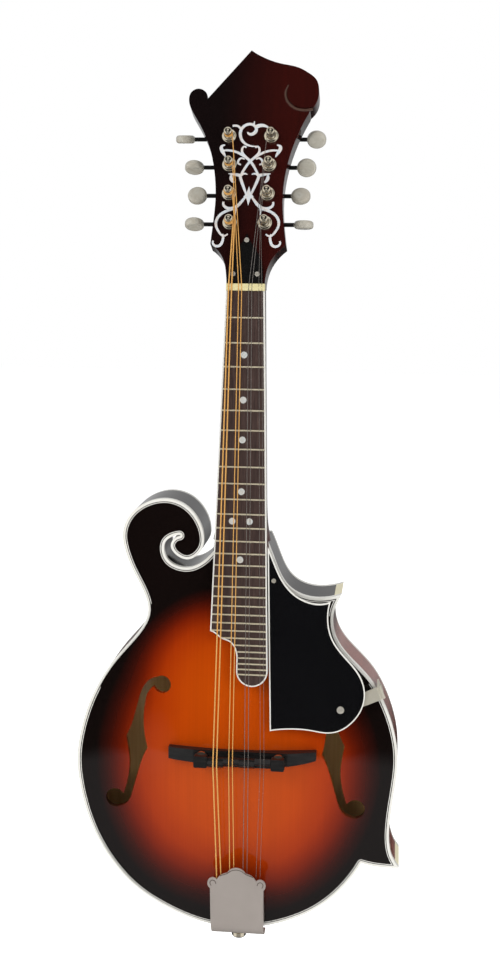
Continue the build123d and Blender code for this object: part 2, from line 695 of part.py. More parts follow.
def make_bridge():
    low_x, high_x = bridge_x - 55.6, bridge_x + 57.2
    upper_z = -346.2
    plan = front_face(
        front_line((low_x, upper_z), (high_x, upper_z)),
        front_line((high_x, upper_z), (high_x, -353)),
        front_curve([(high_x, -353), (high_x - 9, -355), (bridge_x, -356.2), (low_x + 9, -356), (low_x, -355.4)]),
        front_line((low_x, -355.4), (low_x, upper_z)),
    )
    blank = prism(plan, rim_front - 25, rim_front)
    profile = [(low_x, rim_front - 13.6), (bridge_x - 36, base_top_y), (bridge_x + 36, base_top_y)]
    profile += [(high_x, rim_front - 11.4), (high_x, rim_front), (low_x, rim_front)]
    side = Polyline(*[(x, y, upper_z + 2) for x, y in profile], close=True)
    height_slab = extrude(make_face(side), amount=20, dir=(0, 0, -1))
    base = (blank & height_slab) - behind_front_skin
    studs = []
    for x in wheel_places():
        stud = rod((x, base_top_y + 4, wheel_z), (x, rim_front - 24.6, wheel_z), stud_radius)
        base -= stud
        studs.append(stud)
    nodes["bridge_base"] = base
    nodes["bridge_posts"] = Compound(children=[Part() + stud for stud in studs])

    wheel_back = base_top_y - wheel_lift
    wheel_front = wheel_back - wheel_height
    for name, x in zip(("bass", "treble"), wheel_places()):
        wheel = rod((x, wheel_back, wheel_z), (x, wheel_front, wheel_z), wheel_radius)
        wheel -= rod((x, wheel_back + 1, wheel_z), (x, wheel_front - 1, wheel_z), stud_radius + running_gap)
        for notch in range(30):
            turn = 2 * pi * notch / 30
            nx = x + (wheel_radius + 0.15) * cos(turn)
            nz = wheel_z + (wheel_radius + 0.15) * sin(turn)
            wheel -= rod((nx, wheel_back + 1, nz), (nx, wheel_front - 1, nz), 0.35)
        nodes["bridge_wheel_" + name] = wheel

    saddle_back = wheel_front - 0.02
    body = block(bridge_x - 28, bridge_x + 28, saddle_crest_y + 2.2, saddle_back - 1.2, -355.2, -349)
    for x in wheel_places():
        foot = block(x - 5.1, x + 5.1, saddle_crest_y + 0.9, saddle_back, -356.7, -347.6)
        foot = fillet(foot.edges().filter_by(Axis.Y), 1.2)
        body += foot
    step = saddle_course_step
    for course in range(4):
        middle = bridge_x + step * (course - 1.5)
        z = saddle_crest_z + crest_offsets[course]
        crown = Polyline(
            (middle - step / 2, saddle_crest_y + 3, z - 3.1),
            (middle - step / 2, saddle_crest_y + 3, z + 3.1),
            (middle - step / 2, saddle_crest_y - 0.1, z + 0.7),
            (middle - step / 2, saddle_crest_y - 0.1, z - 0.7),
            close=True,
        )
        body += extrude(make_face(crown), amount=step, dir=(1, 0, 0))
    for x in wheel_places():
        body -= rod((x, saddle_back + 1, wheel_z), (x, saddle_crest_y + 1.7, wheel_z), stud_radius + running_gap)
    for cut in string_grooves():
        body -= cut
    nodes["bridge_saddle"] = body


# ---------- tail ----------
def cover_outline():
    """The cover's front outline: a cloud-shaped top over straight sides."""
    half = 20.6
    x = tail_x
    ears = [(x - half, -457.8), (x - half - 1.9, -452.8), (x - half + 0.4, -449), (x - half + 3, -448.6),
            (x - half + 5.4, -450.2)]
    lobe = [(x - half + 5.4, -450.2), (x - half + 8, -446.6), (x - half + 13.6, -444)]
    peak = [(x - half + 13.6, -444), (x - 3.6, -440.4), (x, -439.4), (x + 3.6, -440.4), (x + half - 13.6, -444)]

    def flip(points):
        return [(2 * x - px, pz) for px, pz in points[::-1]]

    return [
        front_curve(ears), front_curve(lobe), front_curve(peak), front_curve(flip(lobe)), front_curve(flip(ears)),
        front_line((x + half, -457.8), (x + half, -510)),
        front_line((x + half, -510), (x - half, -510)),
        front_line((x - half, -510), (x - half, -457.8)),
    ]


def cover_profile(thickness):
    """Side view of the cover's sheet, bending over the tail end, as (y, z) points."""
    outside = [(-19.0, -436), (-16.9, -456), (-13.4, -482), (-9.0, -495.6), (-3.5, -500.4), (8, -501.4)]
    inside = [(y + thickness, z) for y, z in outside[:3]]
    inside += [(-9.0 + thickness, -495), (-3.2, -500.4 + thickness), (8, -501.4 + thickness)]
    outer = Spline(*[(0, rim_front + y, z) for y, z in outside])
    inner = Spline(*[(0, rim_front + y, z) for y, z in inside])
    ends = [Line(outer @ 1, inner @ 1), Line(inner @ 0, outer @ 0)]
    return make_face(Wire([outer, ends[0], inner, ends[1]]))


def make_tailpiece():
    half = 20.6
    sheet = Pos(tail_x - 30, 0, 0) * extrude(cover_profile(1.0), amount=60, dir=(1, 0, 0))
    cover = sheet & prism(front_face(*cover_outline()), rim_front - 30, rim_front + 20)
    walls = Pos(tail_x - half, 0, 0) * extrude(cover_profile(9.0), amount=2 * half, dir=(1, 0, 0))
    walls &= block(tail_x - half, tail_x + half, rim_front - 30, rim_front - 5, -490, -459)
    walls -= block(tail_x - half + 1, tail_x + half - 1, -80, 20, -520, -430)
    nodes["tailpiece_cover"] = cover + walls

    leg_half = 17
    leg = block(tail_x - leg_half, tail_x + leg_half, rim_front - 3.2, rim_front + 31, -498.4, -494)
    leg -= prism(outer_face, rim_front - 0.2, rim_back + 5)
    leg -= block(-30, 30, rim_front - 3.2, rim_front - 0.1, -496.9, -490)
    shelf = block(tail_x - leg_half, tail_x + leg_half, rim_front - 4.6, rim_front - 3.2, -497.2, -460)
    base = leg + shelf
    button_y = rim_front + rim_depth / 2
    base -= rod((button_x, button_y, -500), (button_x, button_y, -490), 3.6)
    for x, y in tail_screws():
        base -= rod((x, y, -500), (x, y, -490), 1.3)
    for radius, hook, points, coil in string_routes():
        base += rod((hook[0], rim_front - 3.4, hook[2]), (hook[0], hook[1] - 1.4, hook[2]), 1.2)
    nodes["tailpiece_base"] = base

    profile = [(0, -481), (2.4, -481), (3.45, -498.45), (6.3, -498.45), (6.3, -499.6), (4.4, -501.4), (3.3, -504),
               (3.3, -508), (4.2, -510.3), (5.75, -511.2), (5.75, -514.2), (4.9, -515.3), (0, -515.7)]
    outline = Polyline(*[(r, 0, z) for r, z in profile], close=True)
    button = revolve(make_face(outline), Axis.Z)
    nodes["strap_button"] = Pos(button_x, button_y, 0) * button


def tail_screws():
    return [(tail_x - 12, rim_front + 5), (tail_x + 12, rim_front + 5), (tail_x, rim_front + 9.5)]


# ---------- pickguard ----------
guard_thickness = 1.6
guard_edge = 0.9
guard_normal = Vector(0.05, -1, 0.065).normalized()
guard_plane = Plane(origin=(22, rim_front - 11.3, -250), x_dir=(1, 0.05, 0), z_dir=guard_normal)
guard_screw = (77.4, -311.3)
guard_pin = (25.6, -214.4)


def guard_outline():
    upper = [(20.6, -189.5), (25.7, -201.2), (30.7, -212), (40.6, -224.3), (50.5, -229.8), (60, -231.4), (68.3, -229.5)]
    outer = [(68.3, -229.5), (66.7, -241), (70.4, -258.3), (80.3, -271.6), (90.2, -283.4), (95.3, -297)]
    outer += [(93.2, -311), (87, -320.5), (77.5, -327.7), (68, -329.8), (55, -328.2), (40, -327.5), (24.6, -329.2)]
    return front_face(front_curve(upper), front_curve(outer), front_line(outer[-1], upper[0]))


def guard_y(x, z, depth=0.0):
    """y of the guard's front face, or of a parallel face that much deeper."""
    return rim_front - 11.3 + 0.05 * (x - 22) + 0.065 * (z + 250) + depth


def make_pickguard():
    slab = guard_plane * (Pos(0, 0, -guard_thickness) * Box(400, 400, guard_thickness,
                          align=(Align.CENTER, Align.CENTER, Align.MIN)))
    outline = guard_outline()
    inner = moved_in(outline, guard_edge)
    whole = prism(outline, rim_front - 30, rim_front) & slab
    core = prism(inner, rim_front - 30, rim_front) & slab
    for x, z in (guard_screw, guard_pin):
        core -= rod((x, rim_front - 40, z), (x, rim_front, z), 1.35)
    nodes["pickguard"] = core
    nodes["pickguard_edge"] = whole - (prism(inner, rim_front - 30, rim_front) & slab)

    # a metal strip runs under the guard, over the rim and down its side
    rim_point = Vector(104.5, 0, -299.5)
    outward = Vector(0.923, 0, 0.386).normalized()
    along = Vector(-outward.Z, 0, outward.X)
    strip = [(-33, -9.3), (-9, -7.75), (0.8, -7.0), (1.6, -6.3), (1.6, 13), (2.8, 13), (2.8, -6.9), (1.4, -8.2),
             (-9, -8.95), (-33, -10.5)]
    points = [rim_point + outward * u + Vector(0, rim_front + y, 0) for u, y in strip]
    face = make_face(Polyline(*points, close=True))
    arm = extrude(face, amount=5, dir=along, both=True)
    x, z = guard_screw
    arm -= rod((x, rim_front - 40, z), (x, rim_front, z), 1.35)
    barrel_centre = rim_point + outward * 3.3 + Vector(0, rim_front - 6.5, 0)
    barrel = rod((barrel_centre - along * 5), (barrel_centre + along * 5), 1.5)
    foot_screw = rim_point + outward * 1.0 + Vector(0, rim_front + 8, 0)
    arm -= rod(foot_screw, (foot_screw + outward * 4), 1.2)
    nodes["pickguard_bracket"] = arm + barrel


# ---------- tuners ----------
def make_worm():
    """The worm's threaded core, along local Z, with a thread groove facing the gear at rest."""
    turns = 4
    height = turns * worm_lead
    tip = worm_pitch_radius + tooth_height
    root = worm_pitch_radius - root_depth
    slope = tan(radians(pressure_angle))
    half_tip = tooth_thickness / 2 - tooth_height * slope
    half_root = tooth_thickness / 2 + (root_depth + 0.1) * slope
    core = Cylinder(root, height + 2.2)
    track = Helix(worm_lead, height, worm_pitch_radius, center=(0, 0, -height / 2))
    section = make_face(Polyline(
        (root - 0.1, 0, -height / 2 - half_root), (tip, 0, -height / 2 - half_tip),
        (tip, 0, -height / 2 + half_tip), (root - 0.1, 0, -height / 2 + half_root), close=True))
    thread = sweep(section, path=track, is_frenet=True)
    return core + thread


def make_gear():
    """A brass gear with slanting teeth, centred on the local origin, one tooth facing +Y."""
    tip = gear_pitch_radius + tooth_height
    root = gear_pitch_radius - root_depth
    slope = tan(radians(pressure_angle))
    half_tip = tooth_thickness / 2 - tooth_height * slope
    half_root = tooth_thickness / 2 + root_depth * slope
    disc_face = Circle(root)
    for tooth in range(gear_teeth):
        shape = make_face(Polyline(
            (-half_root, root - 0.3), (-half_tip, tip), (half_tip, tip), (half_root, root - 0.3), close=True))
        disc_face += Rot(0, 0, 360 * tooth / gear_teeth) * shape
    lead_slope = worm_lead / (2 * pi * worm_pitch_radius)
    twist = gear_width * lead_slope / gear_pitch_radius * 180 / pi
    face = Rot(0, 0, -twist / 2) * disc_face
    face = Pos(0, 0, -gear_width / 2) * face
    solid = Solid.extrude_linear_with_rotation(face.faces()[0], center=(0, 0, -gear_width / 2),
                                               normal=(0, 0, gear_width), angle=twist)
    return Part() + solid - Cylinder(1.5, gear_width + 1)


def tuner_bearing_places(x):
    """The two ears that carry a worm shaft, as x ranges."""
    near, far = 5.3, 6.9
    return [(x - far, x - near), (x + near, x + far)]


def make_tuners():
    worm = make_worm()
    gear = make_gear()
    starts = button_starts_left + button_starts_right
    turns = button_turns_left + button_turns_right
    post_bottom = worm_w - gear_width / 2
    gear_top = worm_w + gear_width / 2
    for index, (x, s) in enumerate(posts()):
        number = str(index + 1)
        profile = [(0, post_bottom), (1.5, post_bottom), (1.5, gear_top), (2.6, gear_top), (2.6, -16.6),
                   (post_radius, -16.4), (post_radius, 2.0), (groove_radius, 2.8), (groove_radius, 7.6), (post_radius, 8.4),
                   (post_radius, post_height - 0.5), (post_radius - 0.5, post_height), (0, post_height)]
        spindle = revolve(make_face(Polyline(*[(r, 0, w) for r, w in profile], close=True)), Axis.Z)
        spindle -= Pos(0, 0, 4.6) * (Rot(90, 0, 20 * index) * Cylinder(0.7, 10))
        screw = Pos(0, 0, post_bottom - 0.5) * Cylinder(2.1, 1.0) - Pos(0, 0, post_bottom - 1) * Box(5, 0.5, 0.8)
        place = head_plane * Pos(x, s, 0)
        nodes["post_" + number] = Compound(children=[Part() + place * spindle, Part() + place * screw])
        nodes["gear_" + number] = place * (Pos(0, 0, worm_w) * gear)
        nodes["key_" + number] = make_key(x, s, starts[index], turns[index], worm)


def make_key(x, s, button_start, button_turn, worm):
    """A worm shaft and its button. Local axes: X up the head, Y out of its face, Z across to the treble side."""
    side = 1 if button_start > x else -1
    origin = head_plane.from_local_coords((x, s + worm_offset, worm_w))
    frame = Plane(origin=origin, x_dir=head_plane.y_dir, z_dir=(1, 0, 0))
    shaft_radius = 1.6
    reach = abs(button_start - x)
    grip = 6.0
    inner = Pos(0, 0, -side * 6.05) * Cylinder(shaft_radius, 2.1)
    outer = Pos(0, 0, side * (5.0 + (reach + grip - 5.0) / 2)) * Cylinder(shaft_radius, reach + grip - 5.0)
    collars = Pos(0, 0, 5.0) * Cylinder(2.3, 0.5) + Pos(0, 0, -5.0) * Cylinder(2.3, 0.5)
    shaft = worm + inner + outer + collars
    length, width, thick = 14.8, 14.0, 6.0
    disc_shape = extrude(Plane.YZ * Ellipse(width / 2, length / 2), amount=thick / 2, both=True)
    disc_shape = fillet(disc_shape.edges(), 2.3)
    button = Pos(0, 0, side * (reach + length / 2)) * (Rot(0, 0, 90 + button_face_on + button_turn) * disc_shape)
    button -= outer
    return Compound(children=[Part() + frame * shaft, Part() + frame * button])


def make_tuner_hardware():
    plates = []
    bushings = []
    back = -head_thickness
    front_of_plate = back
    back_of_plate = back - tuner_plate
    for side in (-1, 1):
        group = [place for place in posts() if (place[0] - head_centre(place[1])) * side > 0]
        top, bottom = group[0], group[-1]
        lean = (top[0] - bottom[0]) / (top[1] - bottom[1])
        low_s, high_s = bottom[1] - 9, top[1] + 15
        edge = [(bottom[0] + lean * (s - bottom[1]) + out, s)
                for out, s in ((-7.4, low_s), (7.4, low_s), (7.4, high_s), (-7.4, high_s))]
        strip = Pos(0, 0, back_of_plate) * extrude(make_face(Polyline(*edge, close=True)), amount=tuner_plate)
        for x, s in group:
            strip -= Pos(x, s, back) * Cylinder(post_radius + running_gap, 4)
            for low, high in tuner_bearing_places(x):
                ear_low, ear_high = worm_w - 2.9, back_of_plate + 0.3
                ear = Pos((low + high) / 2, s + worm_offset, (ear_low + ear_high) / 2) * Box(
                    high - low, 6.2, ear_high - ear_low)
                strip += ear
                bore = Pos((low + high) / 2, s + worm_offset, worm_w) * (
                    Rot(0, 90, 0) * Cylinder(1.6 + running_gap, 4))
                strip -= bore
        for x, s in plate_screws(side):
            strip -= Pos(x, s, back) * Cylinder(1.0, 6)
        plates.append(head_plane * strip)
    for x, s in posts():
        flange = Pos(x, s, 0.6) * Cylinder(4.75, 1.2) + Pos(x, s, -4) * Cylinder(4.1, 8)
        bushings.append(head_plane * (flange - Pos(x, s, -3) * Cylinder(post_radius + running_gap, 14)))
    nodes["tuner_plates"] = Compound(children=[Part() + piece for piece in plates])
    nodes["tuner_bushings"] = Compound(children=[Part() + piece for piece in bushings])


def plate_screws(side):
    group = [place for place in posts() if (place[0] - head_centre(place[1])) * side > 0]
    places = [(x, s + 12.6) for x, s in group]
    places.append((group[-1][0], group[-1][1] - 6.4))
    return places


# ---------- fixings ----------
def screw(radius, head_radius, head_height, length):
    """A screw along local Z with its head above the origin and a slot across it."""
    shape = Pos(0, 0, head_height / 2) * Cylinder(head_radius, head_height)
    shape += Pos(0, 0, -length / 2) * Cylinder(radius, length)
    return shape - Pos(0, 0, head_height) * Box(3 * head_radius, 0.5, head_height)


def make_screws():
    screws = []
    for x, s in cover_screws():
        screws.append(head_plane * (Pos(x, s, 1.1) * screw(0.9, 1.9, 0.5, 1.1)))
    for side in (-1, 1):
        for x, s in plate_screws(side):
            face = Pos(x, s, -head_thickness - tuner_plate) * Rot(180, 0, 0)
            screws.append(head_plane * (face * screw(1.0, 1.9, 0.7, tuner_plate)))
    for x, y in tail_screws():
        outward = Plane(origin=(x, y, -498.4), x_dir=(1, 0, 0), z_dir=(0, 0, -1))
        screws.append(outward * screw(1.3, 2.4, 0.9, 1.3))
    for (x, z), head_radius, length in ((guard_screw, 2.8, 3.2), (guard_pin, 1.7, 2.6)):
        front = Plane(origin=(x, guard_y(x, z) - 0.35, z), x_dir=(1, 0, 0), z_dir=(0, -1, 0))
        screws.append(front * screw(1.35, head_radius, 0.8, length))
    rim_point = Vector(104.5, 0, -299.5)
    outward = Vector(0.923, 0, 0.386).normalized()
    seat = rim_point + outward * 2.8 + Vector(0, rim_front + 8, 0)
    screws.append(Plane(origin=seat, z_dir=outward) * screw(1.2, 2.3, 0.9, 1.1))
    nodes["wood_screws"] = Compound(children=[Part() + piece for piece in screws])


def write_nodes():
    os.makedirs("parts", exist_ok=True)
    for name, shape in nodes.items():
        export_step(shape, "parts/" + name + ".step")


make_plates()
make_rim()
make_tone_bars()
make_neck()
make_truss_rod()
make_head_face()
make_fretboard()
make_nut()
make_strings()
make_bridge()
make_tailpiece()
make_pickguard()
make_tuners()
make_tuner_hardware()
make_screws()
write_nodes()
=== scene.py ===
import bpy, bmesh, math
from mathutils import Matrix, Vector


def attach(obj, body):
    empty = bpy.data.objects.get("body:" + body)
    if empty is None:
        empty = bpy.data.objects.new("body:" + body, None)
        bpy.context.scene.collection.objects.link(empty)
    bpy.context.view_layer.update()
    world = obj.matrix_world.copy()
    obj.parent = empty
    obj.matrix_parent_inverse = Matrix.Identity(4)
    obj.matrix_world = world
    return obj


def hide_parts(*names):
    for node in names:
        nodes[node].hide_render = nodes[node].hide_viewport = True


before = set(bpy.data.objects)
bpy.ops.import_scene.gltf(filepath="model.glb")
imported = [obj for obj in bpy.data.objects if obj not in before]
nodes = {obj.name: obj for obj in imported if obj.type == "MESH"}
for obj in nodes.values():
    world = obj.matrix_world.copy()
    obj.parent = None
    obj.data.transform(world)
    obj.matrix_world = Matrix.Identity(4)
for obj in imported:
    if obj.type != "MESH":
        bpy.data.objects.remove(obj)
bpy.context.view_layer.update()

mm = 0.001


cameraPlan = dict(
    lens=50.943,  # mm
    sensor=36,
    at=(0.110552, -1.022607, 0.023554),
    turn=(80.6009, -0.5540, 6.0507),  # degrees
    near=0.01,
)


def buildCamera():
    data = bpy.data.cameras.new("camera")
    data.lens = cameraPlan["lens"]
    data.sensor_width = cameraPlan["sensor"]
    data.clip_start = cameraPlan["near"]
    camera = bpy.data.objects.new("camera", data)
    camera.location = cameraPlan["at"]
    camera.rotation_euler = [math.radians(angle) for angle in cameraPlan["turn"]]
    bpy.context.scene.collection.objects.link(camera)
    bpy.context.scene.camera = camera
    bpy.context.scene.view_settings.view_transform = "Standard"


roomPlan = dict(
    white=1.0,  # what the eye sees behind the floor
    ambient=0.6,  # soft light from all round
    dark=0.012,  # what gloss sees in front
    low=0.3,  # and below, towards the floor in front
    side=0.75,
    behind=0.5,
    behindLow=0.05,
    # where a direction's up, side or depth share starts to change the brightness, and where it has changed
    lowBand=(-0.345, -0.36),
    sideBand=(0.42, 0.6),
    topBand=(0.82, 0.9),
    windowStart=(0.28, 0.32),  # a lit strip in front, above the eye
    windowEnd=(0.48, 0.52),
    behindLowBand=(-0.3, -0.08),
    behindBand=(-0.05, 0.15),
)


def buildWorld():
    # the room is white to the eye and to soft light
    # in reflections it is dark in front and bright at the sides and above
    world = bpy.data.worlds.new("studio")
    bpy.context.scene.world = world
    world.use_nodes = True
    tree = world.node_tree
    background = tree.nodes["Background"]
    rays = tree.nodes.new("ShaderNodeLightPath")
    axes = tree.nodes.new("ShaderNodeSeparateXYZ")
    tree.links.new(tree.nodes.new("ShaderNodeTexCoord").outputs["Generated"], axes.inputs[0])

    def band(source, span, absolute=False):
        if absolute:
            size = tree.nodes.new("ShaderNodeMath")
            size.operation = "ABSOLUTE"
            tree.links.new(source, size.inputs[0])
            source = size.outputs[0]
        ranged = tree.nodes.new("ShaderNodeMapRange")
        tree.links.new(source, ranged.inputs["Value"])
        ranged.inputs["From Min"].default_value = span[0]
        ranged.inputs["From Max"].default_value = span[1]
        return ranged.outputs["Result"]

    def blend(factor, a, b):
        mix = tree.nodes.new("ShaderNodeMix")
        tree.links.new(factor, mix.inputs["Factor"])
        for socket, value in (("A", a), ("B", b)):
            if isinstance(value, float):
                mix.inputs[socket].default_value = value
            else:
                tree.links.new(value, mix.inputs[socket])
        return mix.outputs["Result"]

    across, depth, up = [axes.outputs[name] for name in "XYZ"]
    reflected = blend(band(up, roomPlan["lowBand"]), roomPlan["dark"], roomPlan["low"])
    reflected = blend(band(across, roomPlan["sideBand"], True), reflected, roomPlan["side"])
    reflected = blend(band(up, roomPlan["topBand"]), reflected, roomPlan["side"])
    window = blend(band(up, roomPlan["windowStart"]), reflected, roomPlan["side"])
    reflected = blend(band(up, roomPlan["windowEnd"]), window, reflected)
    behind = blend(band(up, roomPlan["behindLowBand"]), roomPlan["behindLow"], roomPlan["behind"])
    reflected = blend(band(depth, roomPlan["behindBand"]), reflected, behind)
    seen = blend(rays.outputs["Is Glossy Ray"], roomPlan["ambient"], reflected)
    seen = blend(rays.outputs["Is Camera Ray"], seen, roomPlan["white"])
    tree.links.new(seen, background.inputs["Color"])


lightPlan = {
    "keyLeft": dict(at=(-1.3, -1.7, 1.2), aim=(0, 0, -0.2), size=1.2, watts=30),
    "fillRight": dict(at=(1.6, -1.3, 0.5), aim=(0, 0, -0.2), size=1.0, watts=16),
    "topBack": dict(at=(0.3, 1.2, 1.5), aim=(0, 0, -0.1), size=1.4, watts=14),
}


def buildLights():
    for name, plan in lightPlan.items():
        data = bpy.data.lights.new(name, "AREA")
        data.shape = "SQUARE"
        data.size = plan["size"]
        data.energy = plan["watts"]
        lamp = bpy.data.objects.new(name, data)
        lamp.location = plan["at"]
        lamp.visible_glossy = False
        towards = Vector(plan["aim"]) - Vector(plan["at"])
        lamp.rotation_euler = towards.to_track_quat("-Z", "Y").to_euler()
        bpy.context.scene.collection.objects.link(lamp)


def tone(red, green, blue):
    # a display colour from 0 to 255 as the linear one that shaders use
    shares = [part / 255 for part in (red, green, blue)]
    return (*[c / 12.92 if c <= 0.04045 else ((c + 0.055) / 1.055) ** 2.4 for c in shares], 1)


def newMaterial(name, **sockets):
    material = bpy.data.materials.new(name)
    material.use_nodes = True
    shader = material.node_tree.nodes["Principled BSDF"]
    for socket, value in sockets.items():
        shader.inputs[socket.replace("_", " ")].default_value = value
    return material


def addNode(material, kind, settings=None, **sockets):
    node = material.node_tree.nodes.new("ShaderNode" + kind)
    for key, value in (settings or {}).items():
        setattr(node, key, value)
    for socket, value in sockets.items():
        setInput(material, node, socket.replace("_", " "), value)
    return node


def setInput(material, node, socket, value):
    if socket.isdigit():
        target = node.inputs[int(socket)]
    else:
        target = node.inputs[socket]
    if isinstance(value, bpy.types.NodeSocket):
        material.node_tree.links.new(value, target)
    else:
        target.default_value = value


def place(material, scale=(1, 1, 1)):
    # object coordinates, stretched for a grain or a brushing
    coordinates = addNode(material, "TexCoord").outputs["Object"]
    return addNode(material, "Mapping", Vector=coordinates, Scale=scale).outputs["Vector"]


def objectAxis(material, axis):
    coordinates = addNode(material, "TexCoord").outputs["Object"]
    return addNode(material, "SeparateXYZ", Vector=coordinates).outputs[axis]


def noise(material, scale, detail=3.0, roughness=0.5):
    texture = addNode(material, "TexNoise", Vector=place(material, scale), Scale=1.0, Detail=detail,
                      Roughness=roughness)
    return texture.outputs["Fac"]


def math2(material, operation, a, b, c=None):
    node = addNode(material, "Math", {"operation": operation})
    setInput(material, node, "0", a)
    setInput(material, node, "1", b)
    if c is not None:
        setInput(material, node, "2", c)
    return node.outputs[0]


def ramp(material, factor, stops, mode="LINEAR"):
    node = addNode(material, "ValToRGB", Fac=factor)
    node.color_ramp.interpolation = mode
    while len(node.color_ramp.elements) < len(stops):
        node.color_ramp.elements.new(0.5)
    for element, (position, colour) in zip(node.color_ramp.elements, stops):
        element.position = position
        element.color = colour
    return node.outputs["Color"]


def mixColour(material, factor, a, b, mode="MIX"):
    node = addNode(material, "Mix", {"data_type": "RGBA", "blend_type": mode})
    setInput(material, node, "0", factor)
    setInput(material, node, "6", a)
    setInput(material, node, "7", b)
    return node.outputs[2]


def paint(material, colour=None, roughness=None, bump=None, bumpStrength=0.1, bumpDistance=0.0002):
    shader = material.node_tree.nodes["Principled BSDF"]
    if colour is not None:
        setInput(material, shader, "Base Color", colour)
    if roughness is not None:
        setInput(material, shader, "Roughness", roughness)
    if bump is not None:
        node = addNode(material, "Bump", Height=bump, Strength=bumpStrength, Distance=bumpDistance)
        setInput(material, shader, "Normal", node.outputs["Normal"])
    return material


def spread(material, factor, low, high):
    # a factor from 0 to 1 as a value from low to high
    node = addNode(material, "MapRange", Value=factor)
    node.inputs["To Min"].default_value = low
    node.inputs["To Max"].default_value = high
    return node.outputs["Result"]


def lacquer(name):
    # the clear coat carries all the gloss
    return newMaterial(name, Roughness=0.4, Specular_IOR_Level=0.0, Coat_Weight=1.0, Coat_Roughness=0.03,
                       Coat_IOR=1.5)


burstPlan = dict(
    pools=[  # x, z, half width and half height in metres of each bright pool
        (-0.002, -0.364, 0.111, 0.124),
        (-0.006, -0.304, 0.083, 0.082),
    ],
    stops=[(0.0, tone(174, 68, 4)), (0.45, tone(166, 59, 4)), (0.66, tone(143, 42, 4)),
           (0.78, tone(100, 23, 4)), (0.88, tone(50, 12, 6)), (0.97, tone(19, 8, 7)), (1.0, tone(12, 8, 7))],
    join=0.25,  # how softly the pools run together
    cloud=0.09,  # how far the edge wanders
)


def spruceTop():
    material = lacquer("sunburstSpruce")
    reach = None
    for x, z, halfWidth, halfHeight in burstPlan["pools"]:
        across = math2(material, "SUBTRACT", objectAxis(material, "X"), x)
        across = math2(material, "MULTIPLY", across, 1 / halfWidth)
        along = math2(material, "SUBTRACT", objectAxis(material, "Z"), z)
        along = math2(material, "MULTIPLY", along, 1 / halfHeight)
        square = math2(material, "ADD", math2(material, "MULTIPLY", across, across),
                       math2(material, "MULTIPLY", along, along))
        distance = math2(material, "SQRT", square, 0.0)
        if reach is None:
            reach = distance
        else:
            reach = math2(material, "SMOOTH_MIN", reach, distance, burstPlan["join"])
    cloud = math2(material, "SUBTRACT", noise(material, (9, 9, 9), detail=2), 0.5)
    reach = math2(material, "ADD", reach, math2(material, "MULTIPLY", cloud, burstPlan["cloud"]))
    burst = ramp(material, reach, burstPlan["stops"], "B_SPLINE")
    grain = noise(material, (820, 40, 9), detail=4, roughness=0.6)
    broad = noise(material, (90, 10, 3), detail=2)
    shade = math2(material, "ADD", spread(material, grain, 0.86, 1.1), spread(material, broad, -0.06, 0.06))
    colour = mixColour(material, 1.0, burst, grey(material, shade), "MULTIPLY")
    return paint(material, colour, spread(material, grain, 0.26, 0.4), grain, 0.05, 0.00005)


def grey(material, value):
    node = addNode(material, "CombineColor", Red=value, Green=value, Blue=value)
    return node.outputs["Color"]


def rise(material, axis, low, high):
    # a factor that goes smoothly from 0 to 1 between two places along an axis
    along = objectAxis(material, axis)
    node = addNode(material, "MapRange", {"interpolation_type": "SMOOTHSTEP"}, Value=along)
    node.inputs["From Min"].default_value = low
    node.inputs["From Max"].default_value = high
    return node.outputs["Result"]


def lacqueredMaple(name, dark, warm, low, high, figure=0.5):
    # flamed maple under a dark lacquer that clears to a warmer brown between two heights
    material = lacquer(name)
    height = rise(material, "Z", low, high)
    flame = noise(material, (14, 30, 160), detail=2, roughness=0.4)
    fine = noise(material, (300, 300, 40), detail=3)
    colour = mixColour(material, height, warm, dark)
    shade = math2(material, "MULTIPLY", spread(material, flame, 1 - figure * 0.4, 1 + figure * 0.4),
                  spread(material, fine, 0.92, 1.06))
    colour = mixColour(material, 1.0, colour, grey(material, shade), "MULTIPLY")
    return paint(material, colour, spread(material, fine, 0.24, 0.36), fine, 0.04, 0.00004)


headPlan = dict(
    lean=20,  # degrees back from the nut
    y=-8.9097,  # where the head's face starts at the nut, mm
    z=1.6496,
    centre=-0.4,  # x of the middle between the two rows of tuners, at the nut
    drift=-0.0125,  # and how it moves for each mm up the head
    warmth=(-0.028, 0.03),  # where the red-brown starts and is full, in metres across
)


def headPoint(x, s, w):
    # a point of the head's face: across, up the head and out of its face, in mm
    lean = math.radians(headPlan["lean"])
    y = headPlan["y"] + s * math.sin(lean) - w * math.cos(lean)
    z = headPlan["z"] + s * math.cos(lean) + w * math.sin(lean)
    return Vector((x, y, z)) * mm


def tunerX(side, out, s):
    return headPlan["centre"] + headPlan["drift"] * s + side * out


def headFace():
    # near black at the bass edge, warming to red-brown towards the treble side
    material = lacqueredMaple("lacquerHead", tone(15, 9, 9), tone(24, 9, 8), 0.02, 0.1, 0.3)
    shader = material.node_tree.nodes["Principled BSDF"]
    edge = shader.inputs["Base Color"].links[0].from_socket
    warmth = rise(material, "X", *headPlan["warmth"])
    grain = noise(material, (420, 60, 30), detail=4)
    warm = mixColour(material, grain, tone(52, 13, 10), tone(34, 10, 8))
    setInput(material, shader, "Base Color", mixColour(material, warmth, edge, warm))
    return material


def backPlate():
    # lacquered outside, bare wood inside
    material = lacqueredMaple("lacquerBack", tone(22, 8, 6), tone(96, 34, 20), -0.25, -0.19)
    shader = material.node_tree.nodes["Principled BSDF"]
    outside = shader.inputs["Base Color"].links[0].from_socket
    normal = addNode(material, "TexCoord").outputs["Normal"]
    facing = addNode(material, "SeparateXYZ", Vector=normal).outputs["Y"]
    grain = noise(material, (500, 60, 16), detail=4)
    inside = mixColour(material, grain, tone(250, 206, 140), tone(220, 170, 102))
    setInput(material, shader, "Base Color",
             mixColour(material, math2(material, "LESS_THAN", facing, 0.0), outside, inside))
    return material


